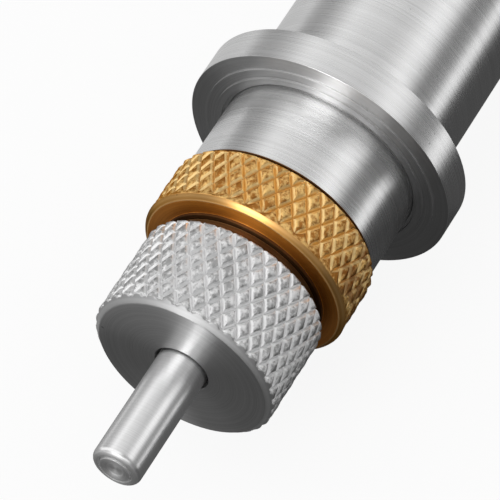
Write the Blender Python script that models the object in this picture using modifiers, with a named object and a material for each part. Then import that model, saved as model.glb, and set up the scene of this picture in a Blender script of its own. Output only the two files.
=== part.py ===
"""Spring-loaded centre punch, lying on its flange and its palm cap.

Metres, +Z up. The tool's axis runs along X with the pin towards +X, and the
origin lies on the table under the middle of the tool. Pushing the pin in drives
the hammer back against the power spring until the trip sleeve's taper has
shifted the trip block into line with the holder's stem, which lets the hammer fly.
"""
import math

import bpy
import bmesh
from mathutils import Vector

# Facets around every turned piece, and around small screws and holes
SEGMENTS = 32
SMALL_SEGMENTS = 16

# Clearances: between pieces that touch, and around the pin where it leaves the cap
GAP = 0.0003
PIN_GAP = 0.00025

# Small chamfer on turned edges
EDGE = 0.0002

# Travels: pin's stroke, cap's way out, palm cap's way in and out, trip block's shift
STROKE = 0.0060
NOSE_OUT = 0.0020
REAR_IN = 0.0040
REAR_OUT = 0.0020
TRIP_SHIFT = 0.0010

# Handle tube, and the flange that stands out from it
TUBE_D = 0.0165
TUBE_WALL = 0.00145
TUBE_FRONT_WALL = 0.00105
FLANGE_STEP = 0.00275
FLANGE_T = 0.0029
FLANGE_FLOOR = 0.0004
LAND_W = 0.0015
LAND_H = 0.0003

# Front barrel
BARREL_STEP = 0.00025
BARREL_SHOWN = 0.0069
BARREL_BORE_D = 0.0086
SPIGOT_WALL = 0.0017
WEB_T = 0.0035
WEB_HOLE_D = 0.0044

# Lock ring
RING_D = 0.0170
RING_LENGTH = 0.0050
RING_BEVEL = 0.00035

# Nose cap and the washer in it
CAP_SIDE_WALL = 0.0012
CAP_WALL = 0.0018
CAP_LENGTH = 0.0081
CAP_CHAMFER = 0.0005
CAP_FACE_INSET = 0.00055
COLLAR_STEP = 0.0006
RIM_TO_RING = 0.0013
WASHER_T = 0.0010

# Punch pin
PIN_D = 0.0040
PIN_OUT = 0.0100
PIN_HELD = 0.0077
PIN_CHAMFER = 0.0005
PIN_TIP_INSET = 0.0003

# Pin holder and the screw that fixes the pin
HEAD_LENGTH = 0.0126
NECK_D = 0.0050
STEM_D = 0.0022
SET_SCREW_D = 0.0020
SET_SCREW_SUNK = 0.0002

# Stem bush and return spring
STEM_BUSH_LENGTH = 0.0027
RETURN_LENGTH = 0.0124
RETURN_WIRE = 0.0007
RETURN_TURNS = 6.5

# Hammer, trip block and leaf
HAMMER_BODY_LENGTH = 0.0180
HAMMER_SPIGOT_LENGTH = 0.0060
HAMMER_FRONT_WALL = 0.0012
SLOT_WALL = 0.00025
BLOCK_LENGTH = 0.0054
BLOCK_SIDE_WALL = 0.0006
BLOCK_FLOOR = 0.0005
LEAF_T = 0.0003
LEAF_INSET = 0.0006
LEAF_STEPS = 8

# Trip sleeve
SLEEVE_WALL = 0.0008
SLEEVE_LAND = 0.0008
SLEEVE_FLANGE_T = 0.0019

# Power spring, its seat and the washer under the seat
POWER_LENGTH = 0.0269
POWER_WIRE = 0.0016
POWER_TURNS = 8.5
COIL_POINTS = 9
SEAT_T = 0.0030
SEAT_SPIGOT_LENGTH = 0.0036
THRUST_T = 0.0008
THRUST_HOLE_D = 0.0036

# Palm cap, the end bush and its screws, and the ring in the cap's skirt
PALM_FLOOR = 0.0040
PALM_SKIRT = 0.0100
PALM_CHAMFER = 0.0012
END_BUSH_LENGTH = 0.0060
END_BUSH_WALL = 0.0017
BUSH_SCREW_D = 0.0016
BUSH_SCREW_BITE = 0.0010
O_RING_T = 0.0009
O_RING_FROM_MOUTH = 0.0024

# Stations along the axis, from the palm face forward to the pin's end
TUBE_REAR = PALM_FLOOR + REAR_IN + GAP
PALM_MOUTH = PALM_FLOOR + PALM_SKIRT
END_BUSH_FRONT = TUBE_REAR + END_BUSH_LENGTH
BUSH_SCREW_AT = TUBE_REAR + END_BUSH_LENGTH / 2
STUD_END = END_BUSH_FRONT + REAR_OUT
THRUST_REAR = STUD_END + GAP
SEAT_REAR = THRUST_REAR + THRUST_T + GAP
POWER_REAR = SEAT_REAR + SEAT_T + GAP
HAMMER_BODY_REAR = POWER_REAR + POWER_LENGTH + GAP
HAMMER_REAR = HAMMER_BODY_REAR - HAMMER_SPIGOT_LENGTH
HAMMER_BODY_FRONT = HAMMER_BODY_REAR + HAMMER_BODY_LENGTH
SLEEVE_REAR = HAMMER_BODY_FRONT + NOSE_OUT + GAP
BLOCK_REAR = SLEEVE_REAR + SLEEVE_LAND + STROKE
BLOCK_FRONT = BLOCK_REAR + BLOCK_LENGTH
SLOT_REAR = BLOCK_REAR - GAP
SLOT_FRONT = BLOCK_FRONT + GAP
STEM_END = BLOCK_FRONT + GAP
HAMMER_FRONT = SLOT_FRONT + HAMMER_FRONT_WALL
SLEEVE_FRONT = HAMMER_FRONT + NOSE_OUT
TAIL_END = SLEEVE_FRONT + GAP
STEM_BUSH_REAR = TAIL_END + WEB_T + GAP
STEM_BUSH_FRONT = STEM_BUSH_REAR + STEM_BUSH_LENGTH
NECK_REAR = STEM_BUSH_FRONT + STROKE + GAP
RETURN_REAR = STEM_BUSH_FRONT + GAP
HEAD_REAR = RETURN_REAR + RETURN_LENGTH + GAP
HEAD_FRONT = HEAD_REAR + HEAD_LENGTH
PIN_REAR = HEAD_FRONT - PIN_HELD
SET_SCREW_AT = HEAD_FRONT - PIN_HELD / 2
WASHER_REAR = HEAD_FRONT + GAP
WASHER_FRONT = WASHER_REAR + WASHER_T
CAP_FACE = WASHER_FRONT + GAP + CAP_WALL
LENGTH = CAP_FACE + PIN_OUT

# Stations from the cap's face back to the barrel's foot
CAP_RIM = CAP_FACE - CAP_LENGTH
RING_FRONT = CAP_RIM - RIM_TO_RING
CAP_REAR = RING_FRONT + GAP
RING_REAR = RING_FRONT - RING_LENGTH
SHOULDER = RING_REAR - GAP
FLANGE_FRONT = SHOULDER - BARREL_SHOWN
FLANGE_REAR = FLANGE_FRONT - FLANGE_T
BARREL_FOOT = FLANGE_REAR + FLANGE_FLOOR + GAP

# Radii that follow from a fit, from the tube inward and from the pin outward
TUBE_R = TUBE_D / 2
TUBE_BORE_R = TUBE_R - TUBE_WALL
RUNNING_R = TUBE_BORE_R - GAP
TUBE_FRONT_BORE_R = TUBE_R - TUBE_FRONT_WALL
TAIL_R = TUBE_FRONT_BORE_R - GAP
BARREL_R = TUBE_R - BARREL_STEP
BARREL_SEAT_R = BARREL_R + GAP
LAND_R = BARREL_SEAT_R + LAND_W
FLANGE_R = TUBE_R + FLANGE_STEP
SKIRT_R = TUBE_R + GAP
STUD_R = RUNNING_R - END_BUSH_WALL - GAP
SLEEVE_RECESS_R = RUNNING_R - SLEEVE_WALL
BLOCK_REACH = SLEEVE_RECESS_R - GAP
SHANK_R = BLOCK_REACH - TRIP_SHIFT
SLEEVE_END_R = SHANK_R + GAP
PIN_R = PIN_D / 2
SOCKET_R = PIN_R + GAP
STEM_R = STEM_D / 2
STEM_HOLE_R = STEM_R + GAP
BARREL_BORE_R = BARREL_BORE_D / 2
HEAD_R = BARREL_BORE_R - GAP
SPIGOT_R = BARREL_BORE_R + SPIGOT_WALL
THREAD_BORE_R = SPIGOT_R + GAP
CAP_R = THREAD_BORE_R + CAP_SIDE_WALL

# The block is as wide as its hole and walls, and the slot's floor leaves a wall at its corners
BLOCK_W = 2 * (STEM_HOLE_R + BLOCK_SIDE_WALL)
BLOCK_INNER_END = TRIP_SHIFT - STEM_HOLE_R - BLOCK_FLOOR
SLOT_HALF_W = BLOCK_W / 2 + GAP
SLOT_FLOOR = -math.sqrt((SHANK_R - SLOT_WALL) ** 2 - SLOT_HALF_W ** 2)

# Springs fill their bores, and a spigot inside the power spring clears its chords
RETURN_COIL_R = HEAD_R - RETURN_WIRE / 2
POWER_COIL_R = RUNNING_R - POWER_WIRE / 2
POWER_SPIGOT_R = POWER_COIL_R * math.cos(math.pi / COIL_POINTS) - POWER_WIRE / 2 - GAP

# The lowest facets of the flange and the palm cap lie flat on the table
AXIS_HEIGHT = FLANGE_R * math.cos(math.pi / SEGMENTS)

# Turns of a small screw's own Z to the tool's two sides, along +Y and -Y
TO_SIDE = (-math.pi / 2, 0, 0)
BUSH_SCREW_SIDES = {"left": TO_SIDE, "right": (math.pi / 2, 0, 0)}

# Round sides shade smooth, and edges sharper than this stay crisp
SHARP_ANGLE = math.radians(30)

# Finishes: base colour, metallic, roughness
FINISHES = {
    "turned_aluminium": ((0.72, 0.73, 0.74, 1), 1.0, 0.32),
    "knurled_aluminium": ((0.80, 0.80, 0.80, 1), 1.0, 0.40),
    "brass": ((0.78, 0.52, 0.20, 1), 1.0, 0.34),
    "polished_steel": ((0.66, 0.66, 0.66, 1), 1.0, 0.20),
    "tool_steel": ((0.42, 0.42, 0.43, 1), 1.0, 0.38),
    "spring_steel": ((0.30, 0.30, 0.32, 1), 1.0, 0.35),
    "rubber": ((0.03, 0.03, 0.03, 1), 0.0, 0.70),
}


def clear_scene():
    for old in list(bpy.data.objects):
        bpy.data.objects.remove(old, do_unlink=True)


def new_collection(name):
    collection = bpy.data.collections.new(name)
    bpy.context.scene.collection.children.link(collection)
    return collection


def material(finish):
    """One Principled material for each finish, shared by the pieces that have it."""
    made = bpy.data.materials.get(finish)
    if made is None:
        colour, metallic, roughness = FINISHES[finish]
        made = bpy.data.materials.new(finish)
        made.use_nodes = True
        shader = made.node_tree.nodes["Principled BSDF"]
        shader.inputs["Base Color"].default_value = colour
        shader.inputs["Metallic"].default_value = metallic
        shader.inputs["Roughness"].default_value = roughness
        made.diffuse_color = colour
    return made


def place(obj, collection, z, rotation=(0, 0, 0)):
    """Hang an object on the tool's axis, z along it from the palm face."""
    for old in list(obj.users_collection):
        old.objects.unlink(obj)
    collection.objects.link(obj)
    obj.parent = axis
    obj.location = (0, 0, z)
    obj.rotation_euler = rotation


def as_cutter(obj):
    obj.hide_render = True
    obj.display_type = "WIRE"


def spin_profile(name, profile, closed, segments):
    """A profile of (radius, height) pairs, down its outer side, turned about Z."""
    start = math.pi / segments
    points = [(r * math.cos(start), r * math.sin(start), h) for r, h in profile]
    edges = [(i, i + 1) for i in range(len(points) - 1)]
    if closed:
        edges.append((len(points) - 1, 0))
    mesh = bpy.data.meshes.new(name)
    mesh.from_pydata(points, edges, [])
    obj = bpy.data.objects.new(name, mesh)
    screw = obj.modifiers.new("turn", "SCREW")
    screw.axis = "Z"
    screw.angle = 2 * math.pi
    screw.steps = segments
    screw.render_steps = segments
    screw.use_merge_vertices = True
    screw.merge_threshold = 0.00001
    return obj


def turned(name, finish, z, profile, closed=True, segments=SEGMENTS, rotation=(0, 0, 0)):
    """A turned piece whose profile is measured from its own rear end, which lies at z."""
    obj = spin_profile(name, profile, closed, segments)
    obj.data.materials.append(material(finish))
    place(obj, parts, z, rotation)
    return obj


def collar(name, finish, rear, front, inner_r, outer_r, edge=EDGE):
    """A plain round bush, ring or washer between two stations."""
    length = front - rear
    profile = [
        (inner_r, length),
        (outer_r - edge, length),
        (outer_r, length - edge),
        (outer_r, edge),
        (outer_r - edge, 0),
        (inner_r, 0),
    ]
    return turned(name, finish, rear, profile)


def round_cutter(name, radius, depth, location, rotation=(0, 0, 0), segments=SMALL_SEGMENTS):
    """A cylinder whose base is at the location, for a hole."""
    obj = spin_profile(name, [(0, depth), (radius, depth), (radius, 0), (0, 0)], False, segments)
    place(obj, cutters, 0, rotation)
    obj.location = location
    as_cutter(obj)
    return obj


def block_mesh(name, low, high):
    """A box between two corners, with its scale in its mesh."""
    mesh = bpy.data.meshes.new(name)
    cube = bmesh.new()
    bmesh.ops.create_cube(cube, size=1.0)
    size = Vector(high) - Vector(low)
    bmesh.ops.scale(cube, vec=size, verts=cube.verts)
    bmesh.ops.translate(cube, vec=(Vector(high) + Vector(low)) / 2, verts=cube.verts)
    cube.to_mesh(mesh)
    cube.free()
    return bpy.data.objects.new(name, mesh)


def cut(obj, cutter, operation="DIFFERENCE"):
    boolean = obj.modifiers.new(cutter.name, "BOOLEAN")
    boolean.operation = operation
    boolean.object = cutter
    boolean.solver = "EXACT"


def least_gap(points, wire):
    """The least gap between one turn of a coil and another."""
    apart = COIL_POINTS // 2
    near = min(
        (points[i] - points[j]).length
        for i in range(len(points))
        for j in range(i + apart, len(points))
    )
    return near - wire


def coil_spring(name, rear, length, coil_r, wire, turns):
    """A compression spring as one round wire, from its rear end forward."""
    count = round(turns * COIL_POINTS) + 1
    points = []
    for i in range(count):
        share = i / (count - 1)
        angle = 2 * math.pi * turns * share
        height = wire / 2 + (length - wire) * share
        points.append(Vector((math.cos(angle) * coil_r, math.sin(angle) * coil_r, height)))
    print(f"{name}: least gap between turns {least_gap(points, wire) * 1000:.2f} mm")
    curve = bpy.data.curves.new(name, "CURVE")
    curve.dimensions = "3D"
    curve.bevel_depth = wire / 2
    curve.bevel_resolution = 1
    curve.use_fill_caps = True
    spline = curve.splines.new("POLY")
    spline.points.add(count - 1)
    for point, spot in zip(spline.points, points):
        point.co = (*spot, 1)
    curve.materials.append(material("spring_steel"))
    obj = bpy.data.objects.new(name, curve)
    place(obj, parts, rear)


def make_nose():
    """The pin's knurled cap, the washer in it and the ring that locks it."""
    rim = CAP_RIM - CAP_REAR
    face = CAP_FACE - CAP_REAR
    inside = face - CAP_WALL
    hole_r = PIN_R + PIN_GAP
    turned("nose_cap", "knurled_aluminium", CAP_REAR, [
        (hole_r, face),
        (CAP_R - CAP_FACE_INSET, face),
        (CAP_R, face - CAP_CHAMFER),
        (CAP_R, rim + EDGE),
        (CAP_R - EDGE, rim),
        (CAP_R - COLLAR_STEP, rim),
        (CAP_R - COLLAR_STEP, 0),
        (THREAD_BORE_R, 0),
        (THREAD_BORE_R, inside),
        (hole_r, inside),
    ])
    collar("buffer_washer", "rubber", WASHER_REAR, WASHER_FRONT, SOCKET_R, SPIGOT_R)
    collar("lock_ring", "brass", RING_REAR, RING_FRONT, THREAD_BORE_R, RING_D / 2, RING_BEVEL)


def make_barrel():
    """The front barrel: threaded spigot, shown barrel, and the tail inside the tube."""
    spigot_end = HEAD_FRONT - TAIL_END
    shoulder = SHOULDER - TAIL_END
    foot = BARREL_FOOT - TAIL_END
    turned("front_barrel", "turned_aluminium", TAIL_END, [
        (BARREL_BORE_R, spigot_end),
        (SPIGOT_R - EDGE, spigot_end),
        (SPIGOT_R, spigot_end - EDGE),
        (SPIGOT_R, shoulder),
        (BARREL_R - EDGE, shoulder),
        (BARREL_R, shoulder - EDGE),
        (BARREL_R, foot),
        (TAIL_R, foot),
        (TAIL_R, 0),
        (WEB_HOLE_D / 2, 0),
        (WEB_HOLE_D / 2, WEB_T),
        (BARREL_BORE_R, WEB_T),
    ])


def make_handle():
    """The handle tube with its flange, the seat for the barrel and the screw holes."""
    flange_front = FLANGE_FRONT - TUBE_REAR
    flange_rear = FLANGE_REAR - TUBE_REAR
    seat_floor = flange_rear + FLANGE_FLOOR
    bore_step = SLEEVE_FRONT - SLEEVE_FLANGE_T - GAP - TUBE_REAR
    tube = turned("handle_tube", "turned_aluminium", TUBE_REAR, [
        (BARREL_SEAT_R, flange_front + LAND_H),
        (LAND_R, flange_front + LAND_H),
        (LAND_R, flange_front),
        (FLANGE_R - EDGE, flange_front),
        (FLANGE_R, flange_front - EDGE),
        (FLANGE_R, flange_rear + EDGE),
        (FLANGE_R - EDGE, flange_rear),
        (TUBE_R, flange_rear),
        (TUBE_R, EDGE),
        (TUBE_R - EDGE, 0),
        (TUBE_BORE_R, 0),
        (TUBE_BORE_R, bore_step),
        (TUBE_FRONT_BORE_R, bore_step),
        (TUBE_FRONT_BORE_R, seat_floor),
        (BARREL_SEAT_R, seat_floor),
    ])
    cut_bush_screw_holes(tube)


def make_punch():
    """The pin, the stepped holder that carries it, and the screw that fixes it."""
    pin = LENGTH - PIN_REAR
    turned("punch_pin", "polished_steel", PIN_REAR, [
        (0, pin),
        (PIN_R - PIN_TIP_INSET, pin),
        (PIN_R, pin - PIN_CHAMFER),
        (PIN_R, EDGE),
        (PIN_R - EDGE, 0),
        (0, 0),
    ], closed=False)
    head_front = HEAD_FRONT - STEM_END
    head_rear = HEAD_REAR - STEM_END
    neck_rear = NECK_REAR - STEM_END
    socket_floor = PIN_REAR - GAP - STEM_END
    holder = turned("pin_holder", "tool_steel", STEM_END, [
        (0, socket_floor),
        (SOCKET_R, socket_floor),
        (SOCKET_R, head_front),
        (HEAD_R - EDGE, head_front),
        (HEAD_R, head_front - EDGE),
        (HEAD_R, head_rear),
        (NECK_D / 2, head_rear),
        (NECK_D / 2, neck_rear),
        (STEM_R, neck_rear),
        (STEM_R, EDGE),
        (STEM_R - EDGE, 0),
        (0, 0),
    ], closed=False)
    hole_r = SET_SCREW_D / 2 + GAP
    cut(holder, round_cutter("set_screw_hole", hole_r, BARREL_R, (0, 0, SET_SCREW_AT), TO_SIDE))
    length = HEAD_R - SET_SCREW_SUNK - SOCKET_R
    small_screw("pin_set_screw", SET_SCREW_D / 2, length, SOCKET_R, SET_SCREW_AT, TO_SIDE)


def small_screw(name, radius, length, inner_end, z, turn):
    """A headless screw across the axis, its inner end that far from the axis."""
    screw = turned(name, "tool_steel", z, [
        (0, length),
        (radius, length),
        (radius, EDGE),
        (radius - EDGE, 0),
        (0, 0),
    ], closed=False, segments=SMALL_SEGMENTS, rotation=turn)
    screw.location.y = math.copysign(inner_end, -turn[0])


def make_return_spring():
    collar("stem_bush", "brass", STEM_BUSH_REAR, STEM_BUSH_FRONT, STEM_HOLE_R, HEAD_R)
    coil_spring("return_spring", RETURN_REAR, RETURN_LENGTH, RETURN_COIL_R, RETURN_WIRE, RETURN_TURNS)


def make_trip():
    """The tapered sleeve, and the block across the hammer with the stem's hole in it."""
    length = SLEEVE_FRONT - SLEEVE_REAR
    flange = length - SLEEVE_FLANGE_T
    turned("trip_sleeve", "tool_steel", SLEEVE_REAR, [
        (SLEEVE_RECESS_R, length),
        (TAIL_R, length),
        (TAIL_R, flange),
        (RUNNING_R, flange),
        (RUNNING_R, 0),
        (SLEEVE_END_R, 0),
        (SLEEVE_END_R, SLEEVE_LAND),
        (SLEEVE_RECESS_R, SLEEVE_LAND + STROKE),
    ])
    low = (-BLOCK_W / 2, BLOCK_INNER_END, 0)
    block = block_mesh("trip_block", low, (BLOCK_W / 2, TUBE_R, BLOCK_LENGTH))
    block.data.materials.append(material("tool_steel"))
    place(block, parts, BLOCK_REAR)
    through = 3 * BLOCK_LENGTH
    below = BLOCK_REAR - BLOCK_LENGTH
    round_end = round_cutter("block_end", BLOCK_REACH, through, (0, 0, below), segments=SEGMENTS)
    cut(block, round_end, "INTERSECT")
    cut(block, round_cutter("block_hole", STEM_HOLE_R, through, (0, TRIP_SHIFT, below)))


def make_leaf():
    """A bowed strip: its ends bear on the slot's floor, its crown on the block."""
    half = BLOCK_LENGTH / 2 - GAP
    half_width = BLOCK_W / 2 - LEAF_INSET
    lowest = SLOT_FLOOR + GAP
    rise = BLOCK_INNER_END - GAP - LEAF_T - lowest
    strip = bmesh.new()
    rows = []
    for i in range(LEAF_STEPS + 1):
        along = half * (2 * i / LEAF_STEPS - 1)
        height = lowest + rise * math.cos(math.pi / 2 * along / half)
        rows.append([strip.verts.new((side * half_width, height, along)) for side in (-1, 1)])
    for (a, b), (c, d) in zip(rows, rows[1:]):
        strip.faces.new((a, b, d, c))
    mesh = bpy.data.meshes.new("trip_leaf")
    strip.to_mesh(mesh)
    strip.free()
    leaf = bpy.data.objects.new("trip_leaf", mesh)
    solid = leaf.modifiers.new("thickness", "SOLIDIFY")
    solid.thickness = LEAF_T
    solid.offset = 1
    leaf.data.materials.append(material("spring_steel"))
    place(leaf, parts, (BLOCK_REAR + BLOCK_FRONT) / 2)


def make_hammer():
    """The hammer: slotted shank for the block, heavy body, and the spring's spigot."""
    front = HAMMER_FRONT - HAMMER_REAR
    body_front = HAMMER_BODY_FRONT - HAMMER_REAR
    body_rear = HAMMER_BODY_REAR - HAMMER_REAR
    hammer = turned("hammer", "tool_steel", HAMMER_REAR, [
        (0, front),
        (SHANK_R - EDGE, front),
        (SHANK_R, front - EDGE),
        (SHANK_R, body_front),
        (RUNNING_R - EDGE, body_front),
        (RUNNING_R, body_front - EDGE),
        (RUNNING_R, body_rear + EDGE),
        (RUNNING_R - EDGE, body_rear),
        (POWER_SPIGOT_R, body_rear),
        (POWER_SPIGOT_R, 0),
        (0, 0),
    ], closed=False)
    low = (-SLOT_HALF_W, SLOT_FLOOR, SLOT_REAR)
    slot = block_mesh("hammer_slot", low, (SLOT_HALF_W, TUBE_R, SLOT_FRONT))
    place(slot, cutters, 0)
    as_cutter(slot)
    cut(hammer, slot)
    middle = (SLOT_FRONT + SLOT_REAR) / 2
    cut(hammer, round_cutter("hammer_stem_hole", STEM_HOLE_R, LENGTH - middle, (0, 0, middle)))


def make_power_spring():
    """The power spring, the seat under it and the washer that the stud turns on."""
    coil_spring("power_spring", POWER_REAR, POWER_LENGTH, POWER_COIL_R, POWER_WIRE, POWER_TURNS)
    spigot_end = SEAT_T + SEAT_SPIGOT_LENGTH
    turned("spring_seat", "tool_steel", SEAT_REAR, [
        (0, spigot_end),
        (POWER_SPIGOT_R - EDGE, spigot_end),
        (POWER_SPIGOT_R, spigot_end - EDGE),
        (POWER_SPIGOT_R, SEAT_T),
        (RUNNING_R, SEAT_T),
        (RUNNING_R, 0),
        (0, 0),
    ], closed=False)
    collar("thrust_washer", "brass", THRUST_REAR, THRUST_REAR + THRUST_T, THRUST_HOLE_D / 2, STUD_R)


def make_rear():
    """The palm cap on its stud, the bush that the stud turns in, and the skirt's ring."""
    ring_at = PALM_MOUTH - O_RING_FROM_MOUTH
    groove_r = SKIRT_R + O_RING_T + GAP
    groove_half = O_RING_T / 2 + GAP
    turned("rear_cap", "knurled_aluminium", 0, [
        (0, STUD_END),
        (STUD_R - EDGE, STUD_END),
        (STUD_R, STUD_END - EDGE),
        (STUD_R, PALM_FLOOR),
        (SKIRT_R, PALM_FLOOR),
        (SKIRT_R, ring_at - groove_half),
        (groove_r, ring_at - groove_half),
        (groove_r, ring_at + groove_half),
        (SKIRT_R, ring_at + groove_half),
        (SKIRT_R, PALM_MOUTH),
        (FLANGE_R - EDGE, PALM_MOUTH),
        (FLANGE_R, PALM_MOUTH - EDGE),
        (FLANGE_R, PALM_CHAMFER),
        (FLANGE_R - PALM_CHAMFER, 0),
        (0, 0),
    ], closed=False)
    bush = collar("end_bush", "brass", TUBE_REAR, END_BUSH_FRONT, STUD_R + GAP, RUNNING_R)
    cut_bush_screw_holes(bush)
    bpy.ops.mesh.primitive_torus_add(
        major_segments=SEGMENTS,
        minor_segments=SMALL_SEGMENTS // 2,
        major_radius=SKIRT_R + O_RING_T / 2,
        minor_radius=O_RING_T / 2,
    )
    ring = bpy.context.object
    ring.name = "cap_o_ring"
    ring.data.materials.append(material("rubber"))
    place(ring, parts, ring_at, (0, 0, math.pi / SEGMENTS))


def make_bush_screws():
    """Two screws through the tube's wall that hold the end bush, one on each side."""
    inner_end = RUNNING_R - BUSH_SCREW_BITE
    length = TUBE_R - EDGE - inner_end
    for side, turn in BUSH_SCREW_SIDES.items():
        small_screw(f"bush_screw_{side}", BUSH_SCREW_D / 2, length, inner_end, BUSH_SCREW_AT, turn)


def cut_bush_screw_holes(obj):
    """Holes for the bush's screws, through the tube's wall and into the bush."""
    inner_end = RUNNING_R - BUSH_SCREW_BITE - GAP
    hole_r = BUSH_SCREW_D / 2 + GAP
    for side, turn in BUSH_SCREW_SIDES.items():
        spot = (0, math.copysign(inner_end, -turn[0]), BUSH_SCREW_AT)
        cut(obj, round_cutter(f"{obj.name}_screw_hole_{side}", hole_r, TUBE_D, spot, turn))


def shade(obj):
    """Make the modelled shape the object's mesh, round sides smooth and edges crisp."""
    shaped = obj.evaluated_get(bpy.context.evaluated_depsgraph_get())
    mesh = bpy.data.meshes.new_from_object(shaped)
    obj.modifiers.clear()
    obj.data = mesh
    mesh.shade_smooth()
    mesh.set_sharp_from_angle(angle=SHARP_ANGLE)


clear_scene()
parts = new_collection("spring_centre_punch")
cutters = new_collection("cutters")

# The empty's Z runs along the tool, from the palm face to the pin
axis = bpy.data.objects.new("tool_axis", None)
parts.objects.link(axis)
axis.location = (-LENGTH / 2, 0, AXIS_HEIGHT)
axis.rotation_euler = (0, math.pi / 2, 0)

make_nose()
make_barrel()
make_handle()
make_punch()
make_return_spring()
make_trip()
make_leaf()
make_hammer()
make_power_spring()
make_rear()
make_bush_screws()

for piece in parts.objects:
    if piece.type == "MESH":
        shade(piece)
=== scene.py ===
"""Looks of the spring-loaded centre punch: knurls, threads, finishes, light and camera.

Metres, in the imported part's own frame: the tool lies along X with its pin towards +X.
Each new piece is turned about its own Z, which is then laid along the tool's axis.
"""
import math

import bmesh
import bpy
import numpy as np
from mathutils import Matrix, Vector


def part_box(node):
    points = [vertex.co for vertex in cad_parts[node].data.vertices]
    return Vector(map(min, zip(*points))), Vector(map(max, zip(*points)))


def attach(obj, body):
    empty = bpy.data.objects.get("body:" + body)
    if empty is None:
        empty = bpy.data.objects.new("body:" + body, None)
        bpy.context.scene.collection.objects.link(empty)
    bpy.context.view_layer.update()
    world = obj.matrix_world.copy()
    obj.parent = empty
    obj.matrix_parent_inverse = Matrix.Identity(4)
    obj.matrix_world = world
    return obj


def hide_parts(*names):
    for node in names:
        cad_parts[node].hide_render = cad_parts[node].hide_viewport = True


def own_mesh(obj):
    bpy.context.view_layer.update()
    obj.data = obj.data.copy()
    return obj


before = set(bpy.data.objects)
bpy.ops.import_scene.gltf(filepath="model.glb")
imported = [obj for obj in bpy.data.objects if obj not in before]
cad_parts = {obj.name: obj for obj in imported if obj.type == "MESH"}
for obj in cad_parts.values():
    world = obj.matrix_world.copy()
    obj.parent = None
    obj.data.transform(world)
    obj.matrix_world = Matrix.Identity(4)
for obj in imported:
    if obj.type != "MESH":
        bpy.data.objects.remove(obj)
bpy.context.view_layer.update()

# The tool's axis: its height over the table, and the turn that lays a piece's own Z along it
AXIS_HEIGHT = (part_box("handle_tube")[0].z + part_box("handle_tube")[1].z) / 2
ALONG_TOOL = Matrix.Rotation(math.pi / 2, 4, "Y")

# Facets around a smooth piece
FINE_COLUMNS = 192
# Rounding of turned corners: its size, its steps, and the most that it takes of a side
EASE = 0.00006
EASE_STEPS = 3
EASE_SHARE = 0.2
# Edges that turn further than this stay crisp, points nearer than this are welded, and faces bent
# by less than this stay whole
CRISP_ANGLE = math.radians(38)
WELD = 1e-7
FLAT = 1e-9
# Clearance between pieces that touch
GAP = 0.0003

# Diamond knurls: the slant and depth of their grooves, and the lines of each hand around a piece
KNURL_SLANT = math.radians(32.5)
KNURL_DEPTH = 0.00032
CAP_LINES = 35
RING_LINES = 38
PALM_LINES = 50
# Half widths of a groove's sharp bottom and of its open sides as shares of the pitch, and the share
# of the depth that the open sides take
GROOVE_BOTTOM = 1 / 6
GROOVE_SIDE = 0.29
SIDE_SHARE = 0.52
# The share of the depth that makes each diamond a plain pyramid
CAP_CROWN = 0.20
RING_CROWN = 0.30
# Columns and rows to each diamond, and the height of a row on a bevel
FRONT_CELLS = 12
PALM_CELLS = 6
BEVEL_ROW = 0.00005
# How far a groove takes to run out, and how far before the cap's chamfer its grooves start to
RUN_OUT = 0.0008
CAP_RUN_OUT_LEAD = 0.00016

# Nose cap
CAP_CHAMFER = 0.0005
CAP_FACE_INSET = 0.00055
CAP_WALL = 0.0018
CAP_SIDE_WALL = 0.0012
CAP_COLLAR_LENGTH = 0.0010
CAP_COLLAR_STEP = 0.00105
# Where the collar's painted shade turns from brown to dark
CAP_COLLAR_SHADE_SPLIT = 0.00016
CAP_RIM_BEVEL = 0.0002
CAP_HOLE_GAP = 0.00025

# Lock ring
RING_FRONT_BEVEL = 0.0004
RING_REAR_BEVEL = 0.00025
RING_BOSS_R = 0.0068
RING_BOSS_H = 0.00024

# Front barrel and the thread on its spigot
SPIGOT_R = 0.0060
BARREL_BORE_R = 0.0043
WEB_HOLE_R = 0.0022
WEB_T = 0.0035
BARREL_EDGE = 0.0002
SHOULDER_EDGE = 0.00005
FOOT_FROM_SHOULDER = 0.0091
THREAD_PITCH = 0.00075
THREAD_DEPTH = 0.0004
THREAD_STEPS = 8
# A thread's groove as a share of its depth: its flanks' slope, and where they would meet if the
# root weren't cut off flat at 1
THREAD_FLANK = 1.25
THREAD_PEAK = 1.1

# Handle tube
TUBE_WALL = 0.00145
TUBE_FRONT_WALL = 0.00105
FLANGE_STEP = 0.00275
FLANGE_T = 0.0029
FLANGE_FLOOR = 0.0004
FLANGE_EDGE = 0.00003
LAND_H = 0.0003
SEAT_FIT = 0.00003
SEAT_LIP_T = 0.0006
ROOT_GROOVE_W = 0.00028
ROOT_GROOVE_DEPTH = 0.00025
INNER_LAND_W = 0.0006
OUTER_LAND_W = 0.0008
OUTER_LAND_H = 0.00014
FRONT_BORE_LENGTH = 0.0139
SCREW_HOLE_R = 0.0011
SCREW_HOLE_FACETS = 32

# Punch pin
PIN_CHAMFER = 0.0005
PIN_TIP_INSET = 0.0004
PIN_EDGE_STEPS = 6
PIN_REAR_EDGE = 0.0002
PIN_DISC_R = 0.00125
PIN_DISC_RISE = 0.00005
PIN_GROOVE_W = 0.00016
PIN_GROOVE_DEPTH = 0.00010
DIMPLE_R = 0.0008
DIMPLE_DEPTH = 0.00016
DIMPLE_STEPS = 8
# The share of the pin's rounded edge that has the finish of its end
PIN_END_SHARE = 0.3

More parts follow.
